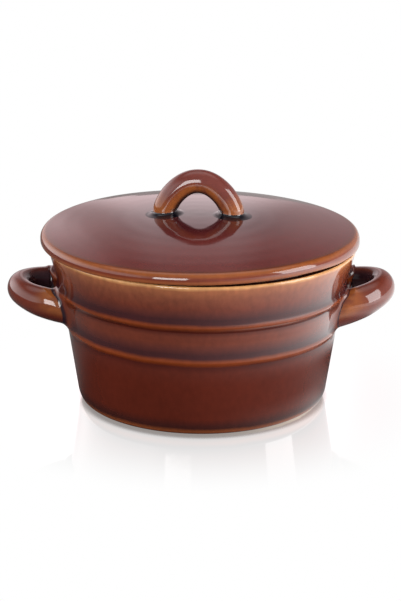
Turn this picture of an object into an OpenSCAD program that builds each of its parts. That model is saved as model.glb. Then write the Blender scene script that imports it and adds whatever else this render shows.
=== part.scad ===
// Lidded stoneware crock: a tapered pot with two ledges round its upper half,
// two ear handles luted to its sides, and a domed lid with a loop to lift it by.
// Millimetres. The origin is the centre of the foot on the table, +Z is up, the
// handles lie along X and the front faces -Y.

/* [Crock] */
// Height of the rim above the table
crock_h = 65.5; // [63:0.5:75]
// Outside diameter at the rim
rim_d = 125.6; // [124:0.2:127]
// Diameter of the upper ledge's nose
upper_ledge_d = 118.5; // [117:0.5:120]
// Height of the upper ledge's nose
upper_ledge_z = 47.8; // [46:0.2:49]
// Diameter of the lower ledge's nose
lower_ledge_d = 111; // [110:0.5:113]
// Height of the lower ledge's nose
lower_ledge_z = 32.5; // [30:0.5:34]
// Diameter at the top of the foot's bevel
heel_d = 101.8; // [98:0.2:104]
// Diameter of the foot on the table
foot_d = 90; // [86:1:94]
// Thickness of the wall at the rim
rim_t = 5.6; // [5:0.1:6]
// Thickness of the base
base_t = 6; // [5:0.5:8]

/* [Handles] */
// Diameter of the handle's rod
ear_rod_d = 11.4; // [10:0.2:13]
// Radius of the handle's loop, at the middle of the rod
ear_r = 15.2; // [14.5:0.1:17]
// Straight run of rod between the loop and its root
ear_lead = 2.9; // [1:0.1:5]
// Height of the roots' middle on the wall
ear_root_z = 42.2; // [42:0.2:44]
// Upward tilt of the loop, in degrees
ear_tilt = 14; // [5:1:20]
// Radius of the fillet of clay round a root
ear_fillet = 4.4; // [3:0.2:5]

/* [Lid] */
// Outside diameter of the lid
lid_d = 129.2; // [128:0.2:136]
// Thickness of the lid
lid_t = 4.6; // [4:0.1:6]
// Rise of the lid's middle above its edge
lid_dome = 6.3; // [4:0.1:9]
// Depth of the ring under the lid that keeps it centred
ring_h = 6; // [4:0.5:8]
// Thickness of that ring
ring_t = 4.2; // [3.5:0.1:5]
// Turn of the lid on the crock, in degrees
lid_turn = -6; // [-180:1:180]

/* [Lid loop] */
// Diameter of the loop's rod
loop_rod_d = 9.6; // [8:0.2:10]
// Radius of the loop, at the middle of the rod
loop_r = 13.6; // [13:0.1:16]
// Distance of the loop from the lid's middle, as it was set by hand
loop_off = -1; // [-3:0.5:3]
// Radius of the fillet of clay round a foot
loop_fillet = 2.6; // [1.5:0.1:3]

/* [Hidden] */
$fn = 96;

glaze = [0.36, 0.16, 0.1];
lid_glaze = [0.33, 0.16, 0.13];
handle_glaze = [0.45, 0.21, 0.1];

heel_z = 3.6;             // height of the foot's bevel
foot_rim_w = 6.5;         // width of the ring that the crock stands on
foot_recess = 1.2;        // how far the base is hollowed inside that ring
upper_step = 1.4;         // how far the upper ledge stands out from the band under it
lower_step = 0.5;         // the same for the lower ledge
cove_h = 5.4;             // height of the hollow over a ledge
cove_d = 0.55;            // depth of that hollow
bore_h = 9;               // length of the straight bore under the rim
floor_fillet = 7;         // radius of the corner between wall and floor
floor_wall_t = 4;         // thickness of the wall above that corner, from the heel

rim_r = rim_d / 2;
rim_round = rim_t / 2;
rim_start = [rim_r, crock_h - rim_round];
bore_r = rim_r - rim_t;
upper_nose = [upper_ledge_d / 2, upper_ledge_z];
lower_nose = [lower_ledge_d / 2, lower_ledge_z];
heel = [heel_d / 2, heel_z];
foot_in_r = foot_d / 2 - foot_rim_w;
floor_r = heel.x - floor_wall_t;

seat_gap = 0.4;           // room between the lid's seat and the rim
ring_clear = 0.8;         // room between the locating ring and the bore
ring_round = 1.5;         // rounding of the ring's lower edges
lid_z = crock_h + seat_gap;
lid_edge_r = lid_t / 2;
dome_a = lid_d / 2 - lid_edge_r;
dome_r = (dome_a * dome_a + lid_dome * lid_dome) / (2 * lid_dome);
dome_c = lid_z + lid_t + lid_dome - dome_r;
ring_outer_r = bore_r - ring_clear;
ring_inner_r = ring_outer_r - ring_t;

// The wall between the ledges leans out by wall_lean, and a handle's roots stand on it
// at wall_r from the axis, turned root_turn to either side of X.
wall_lean = atan((upper_nose.x - lower_nose.x) / (upper_nose.y - lower_nose.y));
wall_r = lower_nose.x + (ear_root_z - lower_nose.y) * tan(wall_lean);
root_turn = asin(ear_r / wall_r);
root_sink = 10;           // rod and fillet start this far inside the wall, and are cut by it
fillet_sink = 0.3;        // a fillet's foot lies this far under the surface it stands on
foot_sink = 3;            // the loop's feet start this far inside the lid, and are cut by it
loop_rise = 0.5;          // height of the loop's middle over the lid at its feet
loop_foot_z = dome_c + sqrt(dome_r * dome_r - loop_r * loop_r);

// Quadratic curve from a to c, pulled towards b
function curve(a, b, c, n = 8) =
    [for (i = [0:n]) let (t = i / n) (1 - t) * (1 - t) * a + 2 * t * (1 - t) * b + t * t * c];

// Outline of a ledge: out from the band under it, over its nose, and up the hollow above it.
// top is the point that the band over the ledge runs up to.
function ledge(nose, step, top) =
    let (
        chord = nose + (top - nose) * cove_h / (top.y - nose.y),
        under = nose - [step, 0.8 + step * 0.7]
    )
    concat(
        curve(under, nose - [step * 0.35, 0.55], nose, 5),
        curve(nose + [-0.05, 0.35], nose + [-cove_d, cove_h * 0.34], chord - [cove_d, 0], 7)
    );

// Outside of the crock, from the foot's edge up to where the rim's rounding starts
function crock_outside() = concat(
    curve([foot_d / 2, 0], heel - [1.2, 2.6], heel, 6),
    ledge(lower_nose, lower_step, upper_nose - [upper_step, 0]),
    ledge(upper_nose, upper_step, rim_start),
    [rim_start]
);

// Inside of the crock, from the bore under the rim down to the middle of the floor
function crock_inside() = concat(
    [[bore_r, rim_start.y], [bore_r, crock_h - bore_h]],
    curve([floor_r, base_t + floor_fillet], [floor_r - 1.4, base_t], [floor_r - 1.4 - floor_fillet, base_t]),
    [[0, base_t]]
);

// Underside of the crock: a ring to stand on, round a hollowed middle
function crock_under() = [[0, foot_recess], [foot_in_r - foot_recess, foot_recess], [foot_in_r, 0]];

// All that lies inside the crock's outer surface
module crock_outer_solid() {
    rotate_extrude() polygon(concat([[0, 0]], crock_outside(), [[0, rim_start.y]]));
}

// Half section of a cap under a sphere about the lid's dome centre, out to radius a and down to z
module cap_section(sphere_r, a, z) {
    intersection() {
        translate([0, dome_c]) circle(r = sphere_r, $fn = 720);
        translate([0, z]) square([a, dome_c + sphere_r - z]);
    }
}

// Concave fillet round a rod that stands on the XY plane, with a plug under it of the given depth
module root_fillet(rod_r, fillet, depth) {
    rotate_extrude() difference() {
        translate([0, -depth]) square([rod_r + fillet, depth + fillet]);
        translate([rod_r + fillet, fillet]) circle(r = fillet);
    }
}

// Half a ring of rod standing in the XZ plane, on straight legs that run down from the XY plane
module rod_arch(r, rod_r, leg) {
    rotate([90, 0, 0]) rotate_extrude(angle = 180) translate([r, 0]) circle(r = rod_r);
    for (side = [-1, 1])
        translate([side * r, 0, -leg]) cylinder(r = rod_r, h = leg);
}

// Ear handle on the crock's +X side
module ear() {
    difference() {
        union() {
            translate([wall_r * cos(root_turn), 0, ear_root_z]) rotate([0, -ear_tilt, 0])
                translate([ear_lead, 0, 0]) rotate([0, 90, 0]) rotate([0, 0, 90])
                    rod_arch(ear_r, ear_rod_d / 2, root_sink);
            for (side = [-1, 1])
                rotate([0, 0, side * root_turn]) translate([wall_r, 0, ear_root_z])
                    rotate([0, 90 + wall_lean, 0]) translate([0, 0, -fillet_sink])
                        root_fillet(ear_rod_d / 2 + 0.4, ear_fillet, root_sink);
        }
        crock_outer_solid();
    }
}

module crock_body() {
    color(glaze) rotate_extrude() {
        polygon(concat(crock_under(), crock_outside(), crock_inside()));
        translate([rim_r - rim_round, rim_start.y]) circle(r = rim_round);
    }
}

module right_handle() {
    color(handle_glaze) ear();
}

module left_handle() {
    color(handle_glaze) rotate([0, 0, 180]) ear();
}

module lid_plate() {
    color(lid_glaze) rotate_extrude() {
        difference() {
            cap_section(dome_r, dome_a, lid_z);
            cap_section(dome_r - lid_t, ring_inner_r, lid_z - 1);
        }
        translate([dome_a, lid_z + lid_edge_r]) circle(r = lid_edge_r);
    }
}

module lid_locating_ring() {
    low = lid_z - ring_h;
    color(lid_glaze) rotate_extrude() polygon(concat(
        [[ring_inner_r, lid_z]],
        curve([ring_inner_r, low + ring_round], [ring_inner_r, low], [ring_inner_r + ring_round, low], 4),
        curve([ring_outer_r - ring_round, low], [ring_outer_r, low], [ring_outer_r, low + ring_round], 4),
        [[ring_outer_r, lid_z]]
    ));
}

module lid_loop() {
    color(handle_glaze) rotate([0, 0, lid_turn]) difference() {
        translate([loop_off, 0, loop_foot_z]) {
            translate([0, 0, loop_rise]) rod_arch(loop_r, loop_rod_d / 2, loop_rise + foot_sink);
            for (side = [-1, 1])
                translate([side * loop_r, 0, -fillet_sink])
                    root_fillet(loop_rod_d / 2 + 0.2, loop_fillet, foot_sink - fillet_sink);
        }
        rotate_extrude() cap_section(dome_r, dome_a, lid_z);
    }
}

crock_body();
left_handle();
right_handle();
lid_plate();
lid_locating_ring();
lid_loop();
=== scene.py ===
"""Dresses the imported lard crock: a turned pot with two pulled handles and a domed lid with
a loop, under a brown glaze that breaks amber on the edges and pools dark in the hollows."""

import math

import bmesh
import bpy
from bpy.props import FloatProperty, FloatVectorProperty, IntProperty, PointerProperty
from mathutils import Matrix, Vector
from mathutils.bvhtree import BVHTree


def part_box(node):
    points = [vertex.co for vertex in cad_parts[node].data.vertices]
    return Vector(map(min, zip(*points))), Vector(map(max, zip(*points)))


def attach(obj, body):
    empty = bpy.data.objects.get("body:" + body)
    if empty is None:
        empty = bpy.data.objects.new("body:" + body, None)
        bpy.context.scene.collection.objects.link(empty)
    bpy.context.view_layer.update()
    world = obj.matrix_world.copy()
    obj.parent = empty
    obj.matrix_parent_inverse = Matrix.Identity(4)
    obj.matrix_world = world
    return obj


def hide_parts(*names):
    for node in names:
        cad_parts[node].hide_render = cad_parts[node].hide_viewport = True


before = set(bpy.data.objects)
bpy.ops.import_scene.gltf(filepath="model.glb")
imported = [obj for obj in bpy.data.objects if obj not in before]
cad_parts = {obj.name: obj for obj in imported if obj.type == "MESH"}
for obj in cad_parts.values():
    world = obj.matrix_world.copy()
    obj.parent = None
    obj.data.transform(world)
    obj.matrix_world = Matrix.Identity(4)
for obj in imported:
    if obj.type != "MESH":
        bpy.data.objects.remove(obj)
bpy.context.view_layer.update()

bl_info = {
    "name": "Glazed Lard Crock",
    "version": (1, 0, 0),
    "blender": (4, 5, 0),
    "location": "View3D > Sidebar > Crock",
    "description": "Models a lidded stoneware crock on its packed solids, in a pale studio",
    "category": "Add Mesh",
}

MM = 0.001
POT = "crock_pot"
LID = "crock_lid"
RING = "crock_lid_ring"
LOOP = "crock_lid_loop"
HANDLES = {"left_handle": "crock_handle_left", "right_handle": "crock_handle_right"}

# Fineness of the meshes
OUTLINE_EDGE = 2.2 * MM     # longest edge of a turned outline
CORNER_STEPS = 8            # edges in a rounded corner
ROD_STEPS = 56              # steps along a bent rod
ROD_FACES = 48              # faces round it
ROOT_STEPS = 14             # steps over the clay drawn out round a root
SAME_POINT = 1e-6           # distance at which two points are one

# Roots of the rods
ROOT_PROBE = 14 * MM        # height over a rod's end from which the ground is looked for
ROOT_SINK = 0.12 * MM       # depth of the drawn clay's edge in the ground
ROOT_PLUG = 1 * MM          # depth under that edge at which a root is closed
PAD_TOP = 0.8               # share of its reach that the top of a full pad takes
HANDLE_BLEND = 9 * MM       # length of a handle's leg that is bent to meet its root
LOOP_BLEND = 5 * MM         # the same for a foot of the loop

# Places on the turned pieces
COVE_OUT, COVE_H = 0.4 * MM, 6.0 * MM   # where the hollow over a ledge ends, from the nose
RIM_H = 4 * MM                          # height of the rounded rim
LEAN_START = 4 * MM                     # height over the table where the pot starts to lean
SAG_START = 0.62                        # share of the lid's radius where its edge starts to sag

# Noise in the glaze, per metre, and how deep it goes
CLOUD_SCALE, CLOUD_DEPTH = 45.0, 0.36           # clouds of lighter and darker glaze
SPECKLE_SCALE, SPECKLE_DEPTH = 450.0, 0.4       # fine speckle in them
SPECKLE_STRETCH = (1.0, 1.0, 0.7)
RIM_SPECKLE = 0.3                               # further depth of the speckle towards the rim
GLOSS_SCALE, GLOSS_DEPTH, GLOSS_ROUGH = 160.0, 0.06, 0.04
RIPPLE_SCALE, RIPPLE_HEIGHT, RIPPLE_STRENGTH = 220.0, 0.4 * MM, 0.035
LINE_SCALE = 60.0                               # wander of the lines between the colours
POT_WANDER, LID_WANDER = 1.4, 0.7               # reach of that wander in millimetres
CREASE_SCALE, CREASE_WANDER = 120.0, 0.6        # the same for the creases round the roots
CLAY_SCALE, CLAY_WANDER = 300.0, 0.5            # the same for the edge of the bare clay
CLAY_ROUGH = 0.75
GLAZE_IOR = 1.5

# Studio
FLOOR_R = 30.0
FLOOR_DROP = 0.1 * MM                   # gap that keeps the floor clear of the foot
CONTACT = 3.5 * MM                      # width of the shadow right at the foot
CONTACT_SHADE = (0.42, 0.39, 0.38)
FLOOR_MIRROR = (1.8, 1.75, 1.75, 1)
SENSOR = 36.0
LAMP_AIM = Vector((0, 0, 0.05))
WHITE = (1.0, 1.0, 1.0)
# Each soft box: setting of its radiance, place, width and height, and whether the glaze mirrors it
SOFT_BOXES = {
    "soft_box_right": ("right_light", (0.75, -0.26, 0.30), (0.44, 0.62), True),
    "soft_box_left": ("left_light", (-0.32, -0.86, 0.32), (0.38, 0.44), True),
    "soft_box_top": ("top_light", (0.0, 0.1, 0.95), (0.7, 0.5), False),
}


def srgb(red, green, blue):
    """A colour as read off a screen, 0 to 255, in the linear values that shaders use."""
    def one(value):
        value /= 255
        return value / 12.92 if value <= 0.04045 else ((value + 0.055) / 1.055) ** 2.4
    return one(red), one(green), one(blue)


def length(name, default, description):
    """A length property, given in millimetres and kept in metres."""
    return FloatProperty(name=name, description=description, default=default * MM, unit="LENGTH",
                         subtype="DISTANCE", precision=5)


def lengths(name, left, right, description):
    """A length that differs between the left and the right handle, as they were pulled by hand."""
    return FloatVectorProperty(name=name, description=description + ", left and right", size=2,
                               default=(left * MM, right * MM), unit="LENGTH", precision=5)


def colour(name, default, description):
    """A colour property, given as read off a screen."""
    return FloatVectorProperty(name=name, description=description, default=srgb(*default), size=3,
                               min=0, max=1, subtype="COLOR")


def angle(name, default, description):
    """An angle property, given in degrees."""
    return FloatProperty(name=name, description=description, default=math.radians(default),
                         subtype="ANGLE", unit="ROTATION")


def angles(name, left, right, description):
    """An angle that differs between the left and the right handle."""
    return FloatVectorProperty(name=name, description=description + ", left and right", size=2,
                               default=(math.radians(left), math.radians(right)), unit="ROTATION")


def factor(name, default, description):
    """A plain number that isn't a length."""
    return FloatProperty(name=name, description=description, default=default, min=0)


def factors(name, left, right, description):
    """A plain number that differs between the left and the right handle."""
    return FloatVectorProperty(name=name, description=description + ", left and right", size=2,
                               default=(left, right), min=0)


# Boxes of the CAD nodes in millimetres, as the low corner and then the high one
POT_BOX = [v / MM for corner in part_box("crock_body") for v in corner]
LID_BOX = [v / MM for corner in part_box("lid_plate") for v in corner]
LOOP_BOX = [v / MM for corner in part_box("lid_loop") for v in corner]
RING_BOX = [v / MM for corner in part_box("lid_locating_ring") for v in corner]
LOW_Z, HIGH_X, HIGH_Z = 2, 3, 5


class PotSizes(bpy.types.PropertyGroup):
    """Sizes of the pot."""

    height: length("Height", POT_BOX[HIGH_Z], "Height of the rim above the table")
    rim_r: length("Rim radius", POT_BOX[HIGH_X], "Outside radius at the rim")
    rim_t: length("Rim thickness", 5.6, "Thickness of the wall at the rim")
    upper_r: length("Upper ledge radius", 59.25, "Radius of the upper ledge's nose")
    upper_z: length("Upper ledge height", 47.8, "Height of the upper ledge's nose")
    lower_r: length("Lower ledge radius", 55.7, "Radius of the lower ledge's nose")
    lower_z: length("Lower ledge height", 32.5, "Height of the lower ledge's nose")
    heel_r: length("Heel radius", 51.05, "Radius at the top of the foot's bevel")
    foot_r: length("Foot radius", 45.0, "Radius of the foot on the table")
    base_t: length("Base thickness", 6.0, "Thickness of the base")
    lean: angle("Lean", 0.5, "Fall of the rim towards +X, as it dried")


class HandleSizes(bpy.types.PropertyGroup):
    """Sizes of the two handles."""

    start: lengths("Start", 58.2, 56.9, "Distance of the legs' ends from the pot's axis")
    height: lengths("Height", 42.8, 41.8, "Height of the legs' ends")
    reach: lengths("Reach", 16.9, 17.9, "How far the bend stands out from the legs' ends")
    half: lengths("Half width", 15.2, 14.9, "Half the distance between the legs")
    leg_h: lengths("Leg half height", 6.5, 7.0, "Half the rod's height near the roots")
    leg_w: lengths("Leg half width", 5.9, 6.1, "Half the rod's width near the roots")
    bend_h: lengths("Bend half height", 5.4, 5.85, "Half the rod's height at the bend")
    bend_w: lengths("Bend half width", 4.8, 4.6, "Half the rod's width at the bend")
    tilt: angles("Tilt", 12.7, 17.0, "Upward tilt of the handle")
    lead: lengths("Lead", 3.9, 2.6, "Distance from the wall at which a front root starts to flare")
    fillet: lengths("Fillet", 6.6, 4.8, "Reach of the clay drawn out round a front root")
    droop: factor("Droop", 0.15, "How much further that clay is drawn out under a root")
    spread: factor("Spread", 0.9, "How much further that clay is smoothed out towards the front")
    crease: factors("Crease", 0.0, 1.2, "How far the pool in a front root's crease has thinned")
    collar_t: length("Collar thickness", 5.4, "Distance from the wall where a rear pad starts")
    collar: length("Collar", 3.0, "Reach of the full pad of clay round a rear root")
    fullness: factor("Fullness", 0.85, "How full that pad is, where 0 is a hollow fillet")


class LidSizes(bpy.types.PropertyGroup):
    """Sizes of the lid, of its locating ring and of its loop."""

    edge_r: length("Lid radius", LID_BOX[HIGH_X], "Outside radius of the lid")
    seat_z: length("Seat height", LID_BOX[LOW_Z], "Height of the lid's seat")
    top_z: length("Top height", LID_BOX[HIGH_Z], "Height of the middle of the lid")
    edge_t: length("Edge thickness", 4.6, "Thickness of the lid's edge")
    shoulder: length("Shoulder rounding", 2.2, "Rounding of the lid's upper edge")
    brim: length("Brim rounding", 1.2, "Rounding of the lid's lower edge")
    ring_out_r: length("Ring radius", RING_BOX[HIGH_X] - 0.4, "Outside radius of the locating ring")
    ring_t: length("Ring thickness", 4.2, "Thickness of the locating ring")
    ring_low_z: length("Ring height", RING_BOX[LOW_Z], "Height of the locating ring's lower edge")
    lift: length("Lift", 0.5, "Height that the lid rides up on its uneven seat")
    cant: angle("Cant", -0.2, "Rise of the lid towards +X")
    warp: angle("Warp", -0.65, "Twist of the lid's edge from the firing")
    drift: length("Drift", -0.85, "Sideways place of the lid on the pot")
    sag: length("Sag", 1.0, "How much thicker the lid's edge is at its +X end")
    loop_r: length("Loop radius", 13.6, "Half the loop's width at the middle of its rod")
    loop_rise: length("Loop rise", 14.05, "Height of the loop's bow at the middle of its rod")
    loop_dip: factor("Loop dip", 0.04, "How far the loop's haunches are drawn in")
    loop_off: length("Loop offset", -0.6, "Distance of the loop from the lid's middle")
    loop_top_z: length("Loop height", LOOP_BOX[HIGH_Z] - 0.5, "Height of the loop's top")
    loop_turn: angle("Loop turn", -6.0, "Turn of the loop on the lid")
    loop_foot_r: length("Loop radius at its feet", 4.85, "Half the rod's thickness at the feet")
    loop_bow_r: length("Loop radius at its top", 4.8, "Half the rod's thickness at the top")
    loop_lead: length("Loop lead", 1.5, "Height over the dome at which a foot starts to flare")
    loop_fillet: length("Loop fillet", 5.5, "Reach of the clay drawn out round a foot")


class GlazeColours(bpy.types.PropertyGroup):
    """Colours of the glaze, from thick to thin, and of the clay, some of them used as painted
    shade.
    """

    wall: colour("Wall", (80, 29, 18), "Glaze of ordinary thickness on the pot's wall")
    band: colour("Bands", (95, 41, 26), "Thinner glaze in the middle of the bands")
    crown: colour("Crown", (112, 58, 38), "Glaze under the rim")
    haze: colour("Haze", (78, 33, 26), "Glaze that thickens towards a hollow")
    # Thick glaze pooled over the ledges; on the rods a layer of this name also carries painted
    # shade.
    pool: colour("Pool", (54, 20, 22), "Thick glaze in the hollows over the ledges")
    crease: colour("Crease", (38, 22, 30), "Thickest glaze, in the crease round a handle's root")
    puddle: colour("Puddle", (14, 13, 20), "Thickest glaze, round the loop's feet")
    # Painted shade under the handles' rods, and the darker colour inside their bends.
    hollow: colour("Handle hollow", (50, 31, 37), "Thick glaze inside and under a handle")
    # Painted shade: the dark band under each ledge, where the wall turns in and faces down.
    under: colour("Under a ledge", (62, 17, 10), "Glaze in the corner under a ledge")
    nose: colour("Nose", (112, 48, 18), "Glaze drawn thin over a ledge's nose")
    brow: colour("Brow", (137, 80, 50), "Glaze that thins towards the rim")
    rim: colour("Rim", (190, 138, 88), "Glaze at its thinnest, on the rim")
    # Painted shadow: the rim's top under the lid's overhang is coloured dark in place of the lid's
    # shade.
    seat: colour("Seat", (50, 22, 13), "Glaze on the seat of the lid")
    heel: colour("Heel", (124, 64, 34), "Glaze over the heel's edge")
    # Painted shade: a dark band just above the foot, standing in for the contact shadow that the
    # glaze mirrors.
    foot: colour("Above the foot", (58, 24, 20), "Glaze that has run down to the foot")
    lid: colour("Lid", (88, 32, 28), "Glaze on the lid's dome")
    # Painted shadow of the loop: the dome is darker round it.
    lid_loop_shadow: colour("Round the loop", (62, 22, 24), "Thicker glaze on the dome round the loop")
    lid_turn: colour("Lid turn", (84, 37, 23), "Glaze where the dome turns to the shoulder")
    shoulder: colour("Lid shoulder", (124, 65, 28), "Glaze drawn thin over the lid's shoulder")
    lid_edge: colour("Lid edge", (100, 41, 24), "Glaze on the lid's edge")
    brim: colour("Lid brim", (126, 66, 34), "Glaze drawn thin over the lid's lower edge")
    limb: colour("Limb", (92, 38, 26), "Glaze on the handles' rods")
    loop: colour("Loop", (96, 43, 36), "Glaze on the loop's rod")
    amber: colour("Amber", (134, 74, 35), "Glaze drawn thin near the ends of the rods")
    inside: colour("Inside", (120, 62, 32), "Glaze inside the pot")
    clay: colour("Clay", (196, 172, 140), "Bare clay on the foot ring")


class StudioSettings(bpy.types.PropertyGroup):
    """Camera, lamps and backdrop."""

    aim_z: length("Aim height", 40.23, "Height of the point that the camera looks at")
    aim_x: length("Aim offset", -0.65, "Sideways place of the camera")
    distance: length("Distance", 800, "Distance of the camera from that point")
    elevation: angle("Elevation", 17.73, "Height of the camera over the horizon")
    lens: factor("Lens", 116.9, "Focal length in millimetres on a 36 mm wide sensor")
    right_light: factor("Right lamp", 7.5, "Radiance of the soft box on the right")
    left_light: factor("Left lamp", 11.0, "Radiance of the soft box on the left")
    top_light: factor("Top lamp", 1.3, "Radiance of the soft box overhead")
    backdrop: factor("Backdrop", 1.01, "Radiance of the backdrop behind the crock")
    blush: colour("Blush", (255, 234, 237), "Colour of the backdrop, as the glaze mirrors it")
    ceiling: factor("Ceiling", 1.0, "Radiance of the pale ceiling behind the crock")
    sides: factor("Sides", 1.7, "Radiance of the pale wall on the left, and of a dim one opposite")
    room: factor("Room", 0.5, "Radiance of the room in front")
    table: factor("Table", 0.3, "Radiance of the pale table, as the glaze mirrors it")
    floor: colour("Floor", (255, 255, 255), "Pale floor")


class CrockProperties(bpy.types.PropertyGroup):
    """All that a user would change."""

    pot: PointerProperty(type=PotSizes)
    handles: PointerProperty(type=HandleSizes)
    lid: PointerProperty(type=LidSizes)
    glaze: PointerProperty(type=GlazeColours)
    studio: PointerProperty(type=StudioSettings)
    turns: IntProperty(name="Turns", description="Faces round a turned piece", default=240, min=24)


class Wire:
    """A socket of a shader tree. Arithmetic on it adds Math nodes."""

    def __init__(self, tree, socket=None):
        self.tree = tree
        self.socket = socket

    def node(self, kind, settings=None, values=None, out=0):
        """Adds a node, sets it up, fills its sockets and returns one of its outputs."""
        made = self.tree.nodes.new(kind)
        for name, value in (settings or {}).items():
            if name == "stops":
                ramp = made.color_ramp
                while len(ramp.elements) < len(value):
                    ramp.elements.new(1.0)
                for element, (place, shade) in zip(ramp.elements, value):
                    element.position = place
                    element.color = (*shade, 1.0)
            else:
                setattr(made, name, value)
        for key, value in (values or {}).items():
            if isinstance(value, Wire):
                value.into(made, key)
            else:
                made.inputs[key].default_value = value
        return Wire(self.tree, made.outputs[out])

    def into(self, node, key):
        """Feeds this socket to an input of a node."""
        self.tree.links.new(self.socket, node.inputs[key])

    def math(self, operation, *values):
        """Adds a Math node on these values."""
        return self.node("ShaderNodeMath", {"operation": operation}, dict(enumerate(values)))

    def __add__(self, other):
        return self.math("ADD", self, other)

    def __sub__(self, other):
        return self.math("SUBTRACT", self, other)

    def __rsub__(self, other):
        return self.math("SUBTRACT", other, self)

    def __mul__(self, other):
        return self.math("MULTIPLY", self, other)

    def __truediv__(self, other):
        return self.math("DIVIDE", self, other)

    def __rtruediv__(self, other):
        return self.math("DIVIDE", other, self)

    __radd__ = __add__
    __rmul__ = __mul__

    def step(self, low, high):
        """Goes smoothly from 0 at low to 1 at high, either of which may be the larger."""
        flip = low > high
        low, high = min(low, high), max(low, high)
        share = self.node("ShaderNodeMapRange", {"interpolation_type": "SMOOTHSTEP"},
                          {"Value": self, "From Min": low, "From Max": high})
        return 1 - share if flip else share

    def mix(self, under, over):
        """Colour under where this share is 0 and colour over where it is 1."""
        def whole(shade):
            return shade if isinstance(shade, Wire) else (*shade, 1.0)
        return self.node("ShaderNodeMix", {"data_type": "RGBA"},
                         {"Factor": self, "A": whole(under), "B": whole(over)}, out="Result")

    def ramp(self, low, high, stops):
        """Colour along a line of stops, whose places run from low to high."""
        share = (self - low) * (1 / (high - low))
        places = [((place - low) / (high - low), tuple(shade)) for place, shade in stops]
        return share.node("ShaderNodeValToRGB", {"stops": places}, {"Fac": share}, out="Color")

    def axes(self, names):
        """The named axes of this vector, each as a number."""
        return [self.node("ShaderNodeSeparateXYZ", {}, {"Vector": self}, out=name)
                for name in names]


def material(name):
    """A new material, its tree as a Wire, and its Principled shader."""
    made = bpy.data.materials.new(name)
    made.use_nodes = True
    return made, Wire(made.node_tree), made.node_tree.nodes["Principled BSDF"]


def attribute(tree, name):
    """A value that the mesh keeps at each of its points."""
    return tree.node("ShaderNodeAttribute", {"attribute_name": name}, out="Fac")


def noise(tree, scale, detail=2.0, stretch=(1, 1, 1)):
    """Cloudy noise in the object's own space, about 0.5."""
    place = tree.node("ShaderNodeTexCoord", out="Object")
    place = tree.node("ShaderNodeMapping", {}, {"Vector": place, "Scale": stretch})
    return tree.node("ShaderNodeTexNoise", {},
                     {"Vector": place, "Scale": scale, "Detail": detail})


def wandering(tree, name, scale, reach):
    """A value that the mesh keeps, made to wander by noise with this reach."""
    return attribute(tree, name) + (noise(tree, scale) - 0.5) * reach


def pot_wall_colour(height, glaze, sizes):
    """Colour of the glaze up the outside of the pot, by the height it was thrown at, with painted
    shade under each ledge and just above the foot.
    """
    lower, upper, top = sizes.lower_z / MM, sizes.upper_z / MM, sizes.height / MM
    return height.ramp(0.0, top, [
        (0.5, glaze.heel), (2.3, glaze.heel),
        # Painted shade just above the foot, for the mirrored contact shadow.
        (3.8, glaze.foot), (5.0, glaze.foot),
        # Wall, then painted shade under the lower ledge.
        (8.0, glaze.wall), (lower - 4.5, glaze.wall), (lower - 1.9, glaze.under),
        (lower - 0.6, glaze.nose), (lower + 0.35, glaze.nose),
        (lower + 1.7, glaze.pool), (lower + 3.2, glaze.pool), (lower + 5.6, glaze.haze),
        # Band, then painted shade under the upper ledge.
        (lower + 8.0, glaze.band), (upper - 4.4, glaze.band), (upper - 2.0, glaze.under),
        (upper - 0.6, glaze.nose), (upper + 0.35, glaze.nose),
        (upper + 1.6, glaze.pool), (upper + 3.4, glaze.pool), (upper + 5.6, glaze.haze),
        (upper + 8.0, glaze.band), (top - 5.5, glaze.crown), (top - 2.0, glaze.brow),
        (top - 0.7, glaze.rim), (top, glaze.rim),
    ])


def glossy_finish(tree, shader, base, bare=None, speckle=SPECKLE_DEPTH):
    """Cloudy, finely speckled colour, a slightly uneven gloss and the ripple of a fired glaze.

    bare is the share of dull clay that the glaze leaves free, and speckle the speckle's depth."""
    clouds = noise(tree, CLOUD_SCALE, 3.0) * CLOUD_DEPTH
    speckles = (noise(tree, SPECKLE_SCALE, 5.0, SPECKLE_STRETCH) - 0.5) * speckle
    value = clouds + speckles + (1 - CLOUD_DEPTH / 2)
    base = tree.node("ShaderNodeHueSaturation", {}, {"Color": base, "Value": value}, out="Color")
    base.into(shader, "Base Color")
    rough = noise(tree, GLOSS_SCALE) * GLOSS_DEPTH + GLOSS_ROUGH
    if bare:
        rough = rough + bare * CLAY_ROUGH
    rough.into(shader, "Roughness")
    bump = tree.node("ShaderNodeBump", {}, {
        "Strength": RIPPLE_STRENGTH, "Distance": RIPPLE_HEIGHT,
        "Height": noise(tree, RIPPLE_SCALE, 1.0),
    })
    bump.into(shader, "Normal")
    shader.inputs["IOR"].default_value = GLAZE_IOR


def pot_glaze(props):
    """Glaze of the pot: banded outside, honey inside, with a bare foot ring, and painted shadow
    under the lid on the rim's top.
    """
    glaze, sizes = props.glaze, props.pot
    made, tree, shader = material("pot_glaze")
    upper, top = sizes.upper_z / MM, sizes.height / MM
    height = wandering(tree, "height", LINE_SCALE, POT_WANDER)
    base = pot_wall_colour(height, glaze, sizes)
    # Painted shadow under the lid: honey glaze inside, turning to the dark seat colour on the rim's
    # top and the top of the bore.
    inside_and_seat_shadow = height.step(top - 5.0, top - 2.6).mix(glaze.inside, glaze.seat)
    base = attribute(tree, "inside").step(0.2, 0.8).mix(base, inside_and_seat_shadow)
    bare = wandering(tree, "bare", CLAY_SCALE, CLAY_WANDER).step(0.35, 0.65)
    speckle = height.step(upper + 3.0, upper + 8.0) * RIM_SPECKLE + SPECKLE_DEPTH
    glossy_finish(tree, shader, bare.mix(base, glaze.clay), bare, speckle)
    return made


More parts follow.
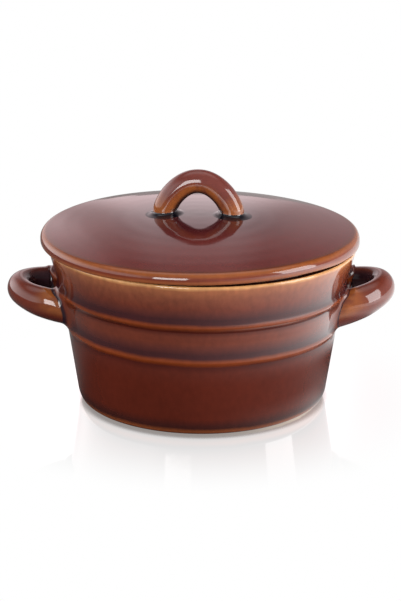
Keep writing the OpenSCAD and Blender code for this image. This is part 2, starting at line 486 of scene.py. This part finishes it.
def handle_glaze(props):
    """Glaze of a handle: brown rod, amber near the roots, dark inside the bend and in creases, and
    painted shade under the rod.
    """
    glaze = props.glaze
    made, tree, shader = material("handle_glaze")
    streaks = noise(tree, 240.0, 2.0, (0.4, 1.0, 1.0))
    thin = attribute(tree, "thin") * streaks.step(0.15, 0.6)
    limb = thin.mix(glaze.limb, glaze.amber)
    # Darker inside the bend, and painted shade under the rod.
    limb = attribute(tree, "pool").mix(limb, glaze.hollow)
    along = wandering(tree, "along", CREASE_SCALE, CREASE_WANDER)
    dark = along.ramp(-8.0, 0.0, [
        (-8.0, glaze.band), (-2.4, glaze.band), (-1.6, glaze.pool), (-1.0, glaze.crease),
        (0.0, glaze.crease),
    ])
    base = along.step(0.1, -0.5).mix(limb, dark)
    height = wandering(tree, "height", LINE_SCALE, POT_WANDER)
    base = along.step(-2.6, -4.6).mix(base, pot_wall_colour(height, glaze, props.pot))
    glossy_finish(tree, shader, base)
    return made


def lid_glaze(props):
    """Glaze of the lid: purple-brown on the dome, amber on the shoulder and the brim, and painted
    shadow of the loop on the dome round it.
    """
    glaze, sizes = props.glaze, props.lid
    made, tree, shader = material("lid_glaze")
    edge, seat_z = sizes.edge_r / MM, sizes.seat_z / MM
    reach = wandering(tree, "reach", LINE_SCALE, LID_WANDER)
    dome = reach.ramp(0.0, edge + 1, [
        # Painted shadow of the loop, fading out between 20 and 42 mm from the middle.
        (0.0, glaze.lid_loop_shadow), (20.0, glaze.lid_loop_shadow), (42.0, glaze.lid),
        (edge - 4.5, glaze.lid), (edge - 2.4, glaze.lid_turn), (edge - 1.3, glaze.shoulder),
        (edge - 0.6, glaze.shoulder), (edge - 0.1, glaze.lid_edge), (edge + 1, glaze.lid_edge),
    ])
    height = wandering(tree, "height", LINE_SCALE, LID_WANDER)
    side = height.ramp(seat_z - 1, seat_z + 4, [
        (seat_z - 1, glaze.lid_edge), (seat_z, glaze.lid_edge), (seat_z + 0.3, glaze.brim),
        (seat_z + 1.0, glaze.brim), (seat_z + 1.9, glaze.lid_edge), (seat_z + 4, glaze.lid_edge),
    ])
    glossy_finish(tree, shader, height.step(seat_z + 3.0, seat_z + 2.2).mix(dome, side))
    return made


def loop_glaze(props):
    """Glaze of the loop: brown rod, amber inside and near the feet, dark puddles round them, and
    darker along the inner edge of the bow.
    """
    glaze = props.glaze
    made, tree, shader = material("loop_glaze")
    streaks = noise(tree, 260.0, 2.0, (1.0, 1.0, 0.5))
    thin = attribute(tree, "thin") * streaks.step(0.1, 0.6)
    limb = thin.mix(glaze.loop, glaze.amber)
    # Darker along the inside of the bow, in the puddle colour.
    limb = attribute(tree, "pool").mix(limb, glaze.puddle)
    along = attribute(tree, "along")
    base = along.step(-0.1, -0.5).mix(limb, glaze.puddle)
    # The feet's drawn-out clay fades into the dome's colour round the loop, which holds the painted
    # shadow.
    base = along.step(-4.2, -6.0).mix(base, glaze.lid_loop_shadow)
    glossy_finish(tree, shader, base)
    return made


def outline(corners):
    """A half outline in the XZ plane. A corner is (radius, height, length its rounding takes)."""
    bm = bmesh.new()
    points = [bm.verts.new((r, 0.0, z)) for r, z, _ in corners]
    for one, two in zip(points, points[1:]):
        bm.edges.new((one, two))
    for point, (_, _, rounding) in zip(points, corners):
        if rounding:
            bmesh.ops.bevel(bm, geom=[point], offset=rounding, offset_type="OFFSET",
                            segments=CORNER_STEPS, profile=0.5, affect="VERTICES", material=-1)
    for edge in list(bm.edges):
        cuts = int(edge.calc_length() / OUTLINE_EDGE)
        if cuts:
            bmesh.ops.subdivide_edges(bm, edges=[edge], cuts=cuts)
    return bm


def keep(bm, name, value):
    """Stores value(point) at each point of the mesh."""
    layer = bm.verts.layers.float.new(name)
    for vert in bm.verts:
        vert[layer] = value(vert.co)


def turn(bm, steps):
    """Turns a half outline about the Z axis into a closed skin."""
    bmesh.ops.spin(bm, geom=bm.verts[:] + bm.edges[:], cent=(0, 0, 0), axis=(0, 0, 1),
                   dvec=(0, 0, 0), angle=math.tau, steps=steps, use_merge=True)
    bmesh.ops.remove_doubles(bm, verts=bm.verts, dist=SAME_POINT)
    bmesh.ops.recalc_face_normals(bm, faces=bm.faces)


def finished(bm, name, body, slot, finish, *nodes):
    """Makes the mesh a smooth piece that rides on a body and stands for its CAD nodes."""
    mesh = bpy.data.meshes.new(name)
    bm.to_mesh(mesh)
    bm.free()
    mesh.polygons.foreach_set("use_smooth", [True] * len(mesh.polygons))
    mesh.materials.append(finish)
    piece = bpy.data.objects.new(name, mesh)
    bpy.context.scene.collection.objects.link(piece)
    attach(piece, body)
    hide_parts(*nodes)


def smooth_share(value, low, high):
    """0 below low, 1 above high, and smooth between."""
    share = min(1.0, max(0.0, (value - low) / (high - low)))
    return share * share * (3 - 2 * share)


def lean(sizes, point):
    """Where a point of the thrown pot ends after drying: the upper part leans a little."""
    fall = math.tan(sizes.lean) * point.x * smooth_share(point.z, LEAN_START, sizes.lower_z)
    return Vector((point.x, point.y, point.z - fall))


def seat(sizes, point):
    """Where a point of the lid ends when the lid is put on its uneven seat."""
    rise = math.tan(sizes.cant) * point.x + sizes.lift
    twist = math.tan(sizes.warp) * point.x * point.y / sizes.edge_r
    return Vector((point.x + sizes.drift, point.y, point.z + rise + twist))


def half_turn():
    """Angles along a bent rod, each with its bow: 0 at the rod's ends and 1 at its middle."""
    angles_along = [math.pi * i / ROD_STEPS for i in range(ROD_STEPS + 1)]
    return [(at, math.sin(at)) for at in angles_along]


def from_end(at):
    """How far an angle along a bent rod is from the nearer end."""
    return min(at, math.pi - at)


def follow(places, across):
    """Frames along a row of places, with Z ahead and X as near to across as that allows."""
    frames = []
    last = len(places) - 1
    for i, place in enumerate(places):
        ahead = (places[min(i + 1, last)] - places[max(i - 1, 0)]).normalized()
        side = (across - ahead * across.dot(ahead)).normalized()
        turned = Matrix((side, ahead.cross(side), ahead)).transposed()
        frames.append(Matrix.Translation(place) @ turned.to_4x4())
    return frames


def rod(places, across, halves):
    """Extrudes an oval along a row of places. halves are its half sizes at each, across and aside.

    Returns the mesh, the rod's rings, and the layers along, thin and pool that its glaze reads."""
    bm = bmesh.new()
    layers = [bm.verts.layers.float.new(name) for name in ("along", "thin", "pool")]
    shaped = [place @ Matrix.Diagonal((*half, 1.0, 1.0))
              for place, half in zip(follow(places, across), halves)]
    ring = bmesh.ops.create_circle(bm, cap_ends=False, segments=ROD_FACES, radius=1.0,
                                   matrix=shaped[0])
    rings = [list(ring["verts"])]
    for before, after in zip(shaped, shaped[1:]):
        ring = grow(bm, rings[-1])
        bmesh.ops.transform(bm, matrix=after @ before.inverted(), verts=ring)
        rings.append(ring)
    return bm, rings, layers


def loop_edges(ring):
    """The edges that join the points of a closed ring."""
    members = set(ring)
    return [e for e in {e for v in ring for e in v.link_edges} if set(e.verts) <= members]


def grow(bm, ring):
    """Extrudes a closed ring of points, and returns the new ring in the same order."""
    grown = bmesh.ops.extrude_edge_only(bm, edges=loop_edges(ring))["geom"]
    new = {g for g in grown if isinstance(g, bmesh.types.BMVert)}
    return [next(e.other_vert(v) for e in v.link_edges if e.other_vert(v) in new) for v in ring]


def middle_of(ring):
    """The middle of a ring of points."""
    return sum((v.co for v in ring), Vector()) / len(ring)


def root(bm, rings, away, ground, lead, blend, reach, swell, along):
    """Draws the end of a rod out onto the ground that it stands on, and closes it there.

    rings run from that end up the rod, away is the rod's own direction out of the ground, lead is
    how far over the ground the rod ends, and blend is the length of rod that is bent to end so.
    reach gives the width of the clay drawn out at a point's offset from the rod's middle. swell is
    0 for a hollow fillet of clay and 1 for a full pad. along is the pair of values that the drawn
    clay keeps next to the rod and at its foot."""
    ring = rings[0]
    centre = middle_of(ring)
    paths, shifts = [], []
    for vert in ring:
        out = vert.co - centre
        hit, normal, _, _ = ground.ray_cast(vert.co + away * ROOT_PROBE, -away)
        shifts.append(away * (lead - (vert.co - hit).dot(away)))
        flat = (out - normal * out.dot(normal)).normalized() * reach(out)
        foot, foot_normal, _, _ = ground.find_nearest(hit + flat)
        start = hit + away * lead
        knee = hit.lerp(start + flat * PAD_TOP, swell)
        paths.append((start, knee, foot - foot_normal * ROOT_SINK))
    gone = 0.0
    before = centre
    for one in rings:
        middle = middle_of(one)
        gone += (middle - before).length
        before = middle
        share = 1 - smooth_share(gone, 0.0, blend)
        if not share:
            break
        for vert, shift in zip(one, shifts):
            vert.co += shift * share
    layer = bm.verts.layers.float["along"]
    for i in range(1, ROOT_STEPS + 1):
        t = i / ROOT_STEPS
        ring = grow(bm, ring)
        for vert, (start, knee, foot) in zip(ring, paths):
            vert.co = start * (1 - t) ** 2 + knee * (2 * t * (1 - t)) + foot * t * t
            vert[layer] = along[0] + (along[1] - along[0]) * t
    inner = grow(bm, ring)
    bmesh.ops.transform(bm, matrix=Matrix.Translation(-away * ROOT_PLUG), verts=inner)
    bmesh.ops.edgeloop_fill(bm, edges=loop_edges(inner))
    for vert in inner:
        vert[layer] = along[1]


def skin_of(name):
    """The finished surface of a piece, to stand other pieces on."""
    return BVHTree.FromObject(bpy.data.objects[name], bpy.context.evaluated_depsgraph_get())


class CROCK_OT_pot(bpy.types.Operator):
    """Turn the pot: foot ring, tapered wall with two ledges, round rim, and a rounded inside"""

    bl_idname = "crock.pot"
    bl_label = "Pot"

    def execute(self, context):
        props = context.scene.crock
        s = props.pot
        bm = outline(self.corners(s))
        wall_r = s.rim_r - s.rim_t / 2
        wall_in = (wall_r - s.heel_r + 2.5 * MM) / (s.height - s.base_t)
        slant = (s.rim_r - s.upper_r - COVE_OUT) / (s.height - s.upper_z - COVE_H)

        def inside(p):
            """1 on the inner side of the middle of the wall, and from the rim's outer edge in."""
            down = s.height - p.z
            if down < RIM_H:
                return smooth_share(s.rim_r - down * slant - p.x, 0.5 * MM, 1.0 * MM)
            if p.z > s.base_t - 0.5 * MM:
                return smooth_share(wall_r - down * wall_in - p.x, -0.6 * MM, 0.6 * MM)
            return 0.0

        def bare(p):
            """1 where the foot ring stands on the table."""
            on_ring = p.x > s.foot_r - 9 * MM
            return smooth_share(0.75 * MM - p.z, 0.0, 0.3 * MM) if on_ring else 0.0

        keep(bm, "height", lambda p: p.z / MM)
        keep(bm, "inside", inside)
        keep(bm, "bare", bare)
        turn(bm, props.turns)
        for vert in bm.verts:
            vert.co = lean(s, vert.co)
        finished(bm, POT, "crock", "pot_glaze", pot_glaze(props), "crock_body")
        return {"FINISHED"}

    def corners(self, s):
        """The pot's outline, from the middle of the underside round to the middle of the floor."""
        bore = s.rim_r - s.rim_t

        def lower(out, up, rounding):
            return s.lower_r + out * MM, s.lower_z + up * MM, rounding * MM

        def upper(out, up, rounding):
            return s.upper_r + out * MM, s.upper_z + up * MM, rounding * MM

        return [
            (0.0, 1.2 * MM, 0),                             # hollow under the base
            (s.foot_r - 8.0 * MM, 1.2 * MM, 1.2 * MM),
            (s.foot_r - 6.4 * MM, 0.0, 0.7 * MM),           # foot ring
            (s.foot_r + 0.4 * MM, 0.0, 1.6 * MM),
            (s.heel_r - 1.3 * MM, 1.1 * MM, 1.1 * MM),      # bevel of the heel
            (s.heel_r, 3.6 * MM, 1.5 * MM),
            lower(-0.55, -1.3, 0.5),                        # lower ledge: corner under it,
            lower(0.05, -0.1, 0.6),                         # nose,
            lower(-0.1, 1.7, 1.0),                          # and hollow over it
            (s.lower_r + COVE_OUT, s.lower_z + COVE_H, 3.0 * MM),
            upper(-1.45, -1.9, 0.9),                        # the same for the upper ledge
            upper(0.05, -0.1, 0.8),
            upper(-0.2, 1.9, 1.0),
            (s.upper_r + COVE_OUT, s.upper_z + COVE_H, 3.0 * MM),
            (s.rim_r, s.height, 1.4 * MM),                  # rim
            (bore, s.height, 2.6 * MM),
            (bore, s.height - 9.0 * MM, 4.0 * MM),          # foot of the straight bore
            (s.heel_r - 4.6 * MM, s.base_t, 7.0 * MM),      # corner of the floor
            (0.0, s.base_t, 0),
        ]


class CROCK_OT_handles(bpy.types.Operator):
    """Pull the two ear handles, thinner at the bend, and draw their roots out on the wall"""

    bl_idname = "crock.handles"
    bl_label = "Handles"

    def execute(self, context):
        props = context.scene.crock
        ground = skin_of(POT)
        finish = handle_glaze(props)
        for hand, (node, name) in enumerate(HANDLES.items()):
            bm = self.pulled(props.handles, hand, ground)
            keep(bm, "height", lambda p: (p.z + math.tan(props.pot.lean) * p.x) / MM)
            bmesh.ops.recalc_face_normals(bm, faces=bm.faces)
            finished(bm, name, "crock", "handle_glaze", finish, node)
        return {"FINISHED"}

    def pulled(self, s, hand, ground):
        """One handle: a rod bent from the front leg round to the rear leg."""
        side = -1 if hand == 0 else 1
        tilt, reach, half = s.tilt[hand], s.reach[hand], s.half[hand]
        away = Vector((side * math.cos(tilt), 0.0, math.sin(tilt)))
        across = Vector((-side * math.sin(tilt), 0.0, math.cos(tilt)))
        start = Vector((side * s.start[hand], 0.0, s.height[hand]))
        leg = s.leg_h[hand], s.leg_w[hand]
        bend = s.bend_h[hand], s.bend_w[hand]
        places, halves, travel = [], [], []
        for at, bow in half_turn():
            places.append(start + away * (reach * bow) - Vector((0, half * math.cos(at), 0)))
            share = smooth_share(bow, 0.1, 1.0)
            halves.append([a + (b - a) * share for a, b in zip(leg, bend)])
            travel.append((reach + half) / 2 * from_end(at) / MM)
        bm, rings, (along, thin, pool) = rod(places, across, halves)
        for ring, done, middle in zip(rings, travel, places):
            inward = (start - middle).normalized()
            amber_end = 0.2 if middle.y < 0 else -0.4
            near = 1 - smooth_share(done, 1.5, 9.5)
            for vert in ring:
                out = (vert.co - middle).normalized()
                facing, up = out.dot(inward), out.dot(across)
                outer = 1 - smooth_share(facing, amber_end - 0.3, amber_end + 0.2)
                # Painted shade on the underside of the rod.
                under = 0.4 * smooth_share(-up, 0.3, 0.9)
                vert[along] = done
                vert[thin] = near * outer * smooth_share(up, -0.6, 0.05)
                vert[pool] = max(under, smooth_share(facing, -0.05, 0.65))

        def front_reach(out):
            forward = max(0.0, -out.y / leg[1])
            return s.fillet[hand] * (1 - s.droop * out.z / leg[0] + s.spread * forward)

        root(bm, rings, away, ground, s.lead[hand], HANDLE_BLEND, front_reach, 0.0,
             (-s.crease[hand], -8.0))
        root(bm, rings[::-1], away, ground, s.collar_t, HANDLE_BLEND, lambda out: s.collar,
             s.fullness, (-3.0, -5.0))
        return bm


class CROCK_OT_lid(bpy.types.Operator):
    """Turn the lid and its locating ring, and put them on the pot"""

    bl_idname = "crock.lid"
    bl_label = "Lid"

    def execute(self, context):
        props = context.scene.crock
        s = props.lid
        finish = lid_glaze(props)
        dome_a = s.edge_r - s.edge_t / 2
        rise = s.top_z - s.seat_z - s.edge_t
        slope = 2 * math.atan(rise / dome_a)
        crest = rise / math.sin(slope)
        inner = s.ring_out_r - s.ring_t
        hollow = s.top_z - s.edge_t
        hollow_rise = rise * (inner / dome_a) ** 2
        joint = 0.3 * MM            # how far lid and ring reach into each other
        self.turned(props, LID, finish, "lid_plate", [
            (0.0, s.top_z, 0),                                  # dome, nearly all of it rounding
            (crest, s.top_z, crest * 0.995),
            (s.edge_r, s.top_z - math.tan(slope) * (s.edge_r - crest), s.shoulder),
            (s.edge_r, s.seat_z, s.brim),
            (inner, s.seat_z, joint),                           # hollow inside the locating ring
            (inner, hollow - hollow_rise, 1.2 * MM),
            (inner / 2, hollow, inner / 2 * 0.9),
            (0.0, hollow, 0),
        ])
        self.turned(props, RING, finish, "lid_locating_ring", [
            (inner, s.seat_z + joint, 0),
            (inner, s.ring_low_z, 1.4 * MM),
            (s.ring_out_r, s.ring_low_z, 1.4 * MM),
            (s.ring_out_r, s.seat_z - joint, 0.5 * MM),         # flare into the seat
            (s.ring_out_r + 0.6 * MM, s.seat_z + joint, 0),
            (inner, s.seat_z + joint, 0),
        ])
        return {"FINISHED"}

    def turned(self, props, name, finish, node, corners):
        """A turned piece of the lid, sagged at one end of its edge and put on its seat."""
        bm = outline(corners)
        bmesh.ops.remove_doubles(bm, verts=bm.verts, dist=SAME_POINT)
        keep(bm, "reach", lambda p: p.x / MM)
        keep(bm, "height", lambda p: p.z / MM)
        turn(bm, props.turns)
        s = props.lid
        for vert in bm.verts:
            low = smooth_share(s.seat_z + s.edge_t - vert.co.z, 0.0, s.edge_t)
            brim = smooth_share(vert.co.xy.length, s.ring_out_r, s.edge_r - s.brim)
            end = smooth_share(vert.co.x, SAG_START * s.edge_r, s.edge_r)
            vert.co.z -= s.sag * low * brim * end
            vert.co = seat(s, vert.co)
        finished(bm, name, "lid", "lid_glaze", finish, node)


class CROCK_OT_loop(bpy.types.Operator):
    """Bend the lid's loop and draw its feet out on the dome"""

    bl_idname = "crock.loop"
    bl_label = "Loop"

    def execute(self, context):
        props = context.scene.crock
        s = props.lid
        ground = skin_of(LID)
        turned = Matrix.Rotation(s.loop_turn, 4, "Z")
        hub = Vector((s.loop_off, 0.0, s.loop_top_z - s.loop_bow_r - s.loop_rise))
        places, halves, travel = [], [], []
        for at, bow in half_turn():
            drawn = 1 - s.loop_dip * math.sin(2 * at) ** 2
            spot = Vector((-s.loop_r * math.cos(at), 0.0, s.loop_rise * bow)) * drawn
            places.append(seat(s, turned @ (hub + spot)))
            share = smooth_share(bow, 0.1, 1.0)
            halves.append([s.loop_foot_r + (s.loop_bow_r - s.loop_foot_r) * share] * 2)
            travel.append(s.loop_r * from_end(at) / MM)
        bm, rings, (along, thin, pool) = rod(places, turned @ Vector((0.0, 1.0, 0.0)), halves)
        seated_hub = seat(s, turned @ hub)
        for ring, done, middle in zip(rings, travel, places):
            inward = (seated_hub - middle).normalized()
            near = 1 - smooth_share(done, 1.0, 10.0)
            for vert in ring:
                facing = (vert.co - middle).normalized().dot(inward)
                vert[along] = done
                vert[thin] = max(near, 0.9 * smooth_share(facing, -0.2, 0.35))
                # Darker along the inside of the bow.
                vert[pool] = 0.9 * smooth_share(facing, 0.5, 0.85)
        up = Vector((0, 0, 1))
        for end in (rings, rings[::-1]):
            root(bm, end, up, ground, s.loop_lead, LOOP_BLEND, lambda out: s.loop_fillet, 0.0,
                 (0.0, -6.0))
        bmesh.ops.recalc_face_normals(bm, faces=bm.faces)
        finished(bm, LOOP, "lid", "handle_glaze", loop_glaze(props), "lid_loop")
        return {"FINISHED"}


class CROCK_OT_studio(bpy.types.Operator):
    """Set up the pale floor, the backdrop, the soft boxes and the camera"""

    bl_idname = "crock.studio"
    bl_label = "Studio"

    def execute(self, context):
        scene = context.scene
        st = scene.crock.studio
        scene.view_settings.view_transform = "Standard"
        self.floor(scene, st)
        self.backdrop(scene, st)
        for name, (setting, place, size, mirrored) in SOFT_BOXES.items():
            lamp = self.soft_box(scene, name, place, size, getattr(st, setting))
            lamp.visible_glossy = mirrored
        self.camera(scene, st)
        return {"FINISHED"}

    def camera(self, scene, st):
        """A camera in front, a little above the crock."""
        camera = bpy.data.cameras.new("camera")
        camera.sensor_fit = "AUTO"
        camera.sensor_width = SENSOR
        camera.lens = st.lens
        eye = bpy.data.objects.new("camera", camera)
        scene.collection.objects.link(eye)
        back = Vector((0, -math.cos(st.elevation), math.sin(st.elevation)))
        eye.location = Vector((st.aim_x, 0, st.aim_z)) + back * st.distance
        eye.rotation_euler = (math.pi / 2 - st.elevation, 0, 0)
        scene.camera = eye

    def floor(self, scene, st):
        """A pale table: white to the camera, with a contact shadow and a faint mirror image."""
        bm = bmesh.new()
        bmesh.ops.create_circle(bm, cap_ends=True, segments=96, radius=FLOOR_R)
        mesh = bpy.data.meshes.new("floor")
        bm.to_mesh(mesh)
        bm.free()
        floor = bpy.data.objects.new("floor", mesh)
        floor.location.z = -FLOOR_DROP
        scene.collection.objects.link(floor)
        made, tree, shader = material("floor")
        mesh.materials.append(made)
        made.node_tree.nodes.remove(shader)
        place = tree.node("ShaderNodeTexCoord", out="Object")
        far = tree.node("ShaderNodeVectorMath", {"operation": "LENGTH"}, {0: place}, out="Value")
        bright = self.table_glow(tree, far, *place.axes("XY"))
        seen = tree.node("ShaderNodeEmission", {}, {"Color": bright * st.table, "Strength": 1.0})
        clear = tree.node("ShaderNodeAmbientOcclusion", {"samples": 8}, {"Distance": CONTACT},
                          out="AO")
        shade = clear.step(0.3, 0.95).mix(CONTACT_SHADE, st.floor)
        white = tree.node("ShaderNodeEmission", {}, {"Color": shade, "Strength": 1.0})
        mirror = tree.node("ShaderNodeBsdfGlossy", {}, {"Color": FLOOR_MIRROR, "Roughness": 0.04})
        fade = far.step(0.108, 0.04) * 0.33
        shown = tree.node("ShaderNodeMixShader", {}, {0: fade, 1: white, 2: mirror})
        camera_ray = tree.node("ShaderNodeLightPath", out="Is Camera Ray")
        whole = tree.node("ShaderNodeMixShader", {}, {0: camera_ray, 1: seen, 2: shown})
        whole.into(made.node_tree.nodes["Material Output"], "Surface")

    def table_glow(self, tree, far, x, y):
        """Brightness of the table as the glaze mirrors it: more to the right, less by the pot."""
        left_rear = y.step(-0.02, 0.03) * (x.step(0.0, -0.05) * 0.85 - 0.14)
        front_right = far.step(0.07, 0.055) * x.step(0.0, 0.04) * y.step(0.0, -0.03)
        shadow = 0.18 + left_rear + front_right * 0.4
        unshaded = far.step(0.08, 0.11) * (1 - shadow) + shadow
        far_right = far.step(0.16, 0.3) * x.step(0.05, 0.25) * y.step(0.1, -0.1)
        bright = tree.math("EXPONENT", x / far * 2.0) + 0.4
        return bright * unshaded * (far_right * 0.8 + 1)

    def backdrop(self, scene, st):
        """A bright backdrop behind, a pale ceiling and left wall, and a darker room in front."""
        world = bpy.data.worlds.new("backdrop")
        world.use_nodes = True
        scene.world = world
        tree = Wire(world.node_tree)
        x, y, z = tree.node("ShaderNodeTexCoord", out="Generated").axes("XYZ")
        dip = x.step(-0.17, -0.12) * x.step(-0.06, -0.11) * 0.4
        rear = (z.step(0.75, 0.25) * 0.85 + 0.15) * (x.step(0.1, 0.03) * 0.65 + 0.57)
        rear = rear * (1 - dip) * st.backdrop
        front = (x.step(-0.75, 0.1) * 0.5 + 0.5) * st.room
        behind = y.step(-0.35, 0.5)
        ceiling = z.step(0.72, 0.92) * y.step(-0.25, 0.2) * st.ceiling
        walls = x.step(-0.4, -0.8) + x.step(0.4, 0.8) * 0.12
        sides = walls * z.step(-0.1, 0.05) * z.step(0.8, 0.4) * st.sides
        tinted = tree.node("ShaderNodeVectorMath", {"operation": "SCALE"},
                           {0: st.blush, "Scale": behind * rear}, out="Vector")
        glow = tree.node("ShaderNodeVectorMath", {"operation": "ADD"},
                         {0: tinted, 1: (1 - behind) * front + ceiling + sides}, out="Vector")
        camera_ray = tree.node("ShaderNodeLightPath", out="Is Camera Ray")
        camera_ray.mix(glow, WHITE).into(world.node_tree.nodes["Background"], "Color")

    def soft_box(self, scene, name, place, size, radiance):
        """A rectangular lamp that faces the crock."""
        light = bpy.data.lights.new(name, "AREA")
        light.shape = "RECTANGLE"
        light.size, light.size_y = size
        light.energy = radiance * math.pi * size[0] * size[1]
        lamp = bpy.data.objects.new(name, light)
        scene.collection.objects.link(lamp)
        lamp.location = place
        lamp.rotation_euler = (LAMP_AIM - Vector(place)).to_track_quat("-Z", "Y").to_euler()
        return lamp


class CROCK_PT_sidebar(bpy.types.Panel):
    """Lists the pieces of the crock and what can be changed on them."""

    bl_idname = "CROCK_PT_sidebar"
    bl_label = "Lard crock"
    bl_space_type = "VIEW_3D"
    bl_region_type = "UI"
    bl_category = "Crock"

    def draw(self, context):
        props = context.scene.crock
        for operator in PIECES:
            self.layout.operator(operator.bl_idname)
        self.layout.prop(props, "turns")
        for group in (props.pot, props.handles, props.lid, props.glaze, props.studio):
            box = self.layout.box()
            for name in group.__annotations__:
                box.prop(group, name)


PIECES = (CROCK_OT_pot, CROCK_OT_handles, CROCK_OT_lid, CROCK_OT_loop, CROCK_OT_studio)
GROUPS = (PotSizes, HandleSizes, LidSizes, GlazeColours, StudioSettings, CrockProperties)
CLASSES = (*GROUPS, *PIECES, CROCK_PT_sidebar)


def register():
    for one in CLASSES:
        bpy.utils.register_class(one)
    bpy.types.Scene.crock = PointerProperty(type=CrockProperties)


def unregister():
    del bpy.types.Scene.crock
    for one in reversed(CLASSES):
        bpy.utils.unregister_class(one)


def main():
    register()
    bpy.ops.crock.pot()
    bpy.ops.crock.handles()
    bpy.ops.crock.lid()
    bpy.ops.crock.loop()
    bpy.ops.crock.studio()


if __name__ == "__main__":
    main()
